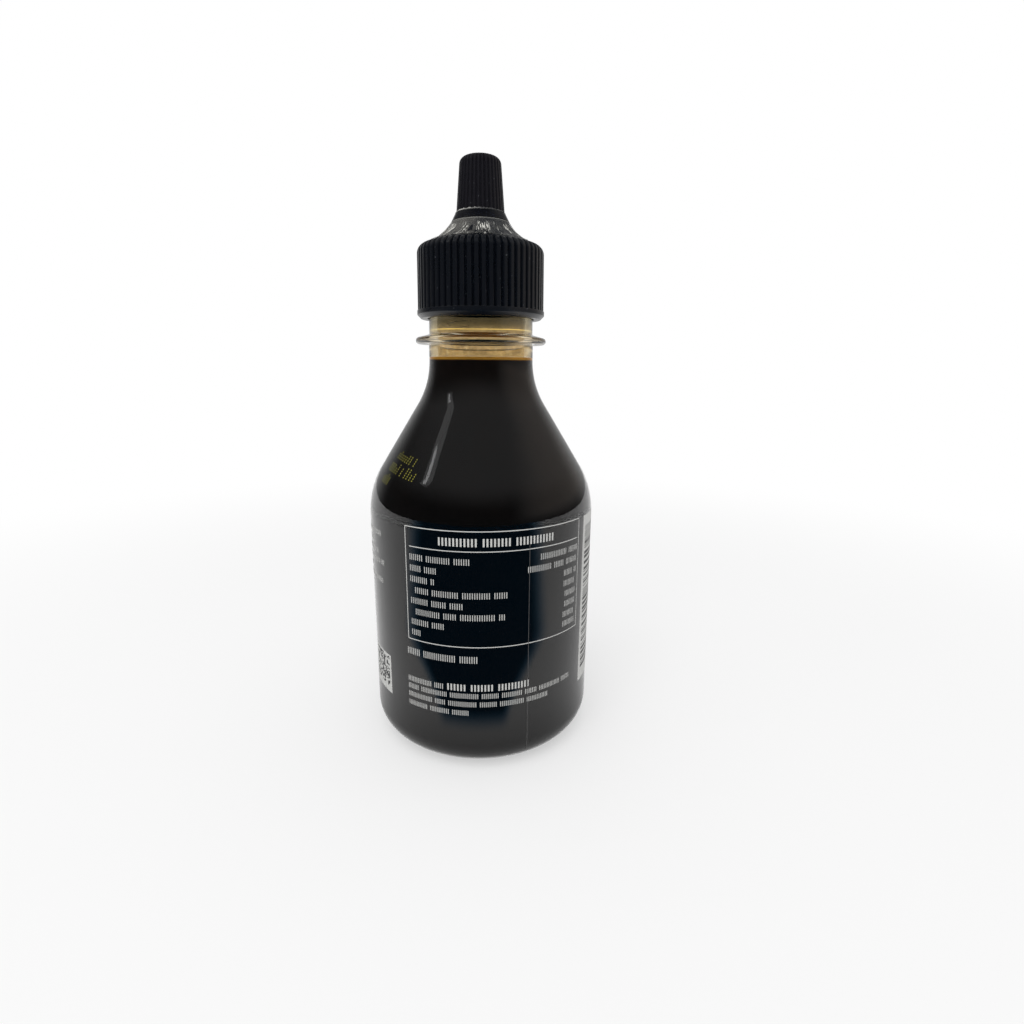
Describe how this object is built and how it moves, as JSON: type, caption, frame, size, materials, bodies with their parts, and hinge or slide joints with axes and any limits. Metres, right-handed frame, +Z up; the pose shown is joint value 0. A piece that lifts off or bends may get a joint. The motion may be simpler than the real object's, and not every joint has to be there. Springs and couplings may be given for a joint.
{
  "type": "filled sauce bottle",
  "caption": "Clear round bottle filled with dark chilli sauce, closed by a ribbed black screw cap with a flared nozzle and a small ribbed tip cap.",
  "frame": {"origin": "centre of the base, on the surface the bottle stands on", "axes": "+Z up along the bottle's axis; -Y is the side with the printed panel"},
  "size_m": [0.0582, 0.0582, 0.1438],
  "materials": {
    "clear_plastic": "clear plastic, glossy, with white print",
    "sauce": "dark red-brown sauce, almost black where it is deep",
    "cap_plastic": "black moulded plastic, satin",
    "film": "clear shrink film, wrinkled and glossy",
    "tip_plastic": "black moulded plastic, satin"
  },
  "bodies": {
    "root": {"bottle": "clear_plastic", "sauce": "sauce", "screw_cap": "cap_plastic", "shrink_film": "film", "tip_cap": "tip_plastic"}
  },
  "joints": []
}
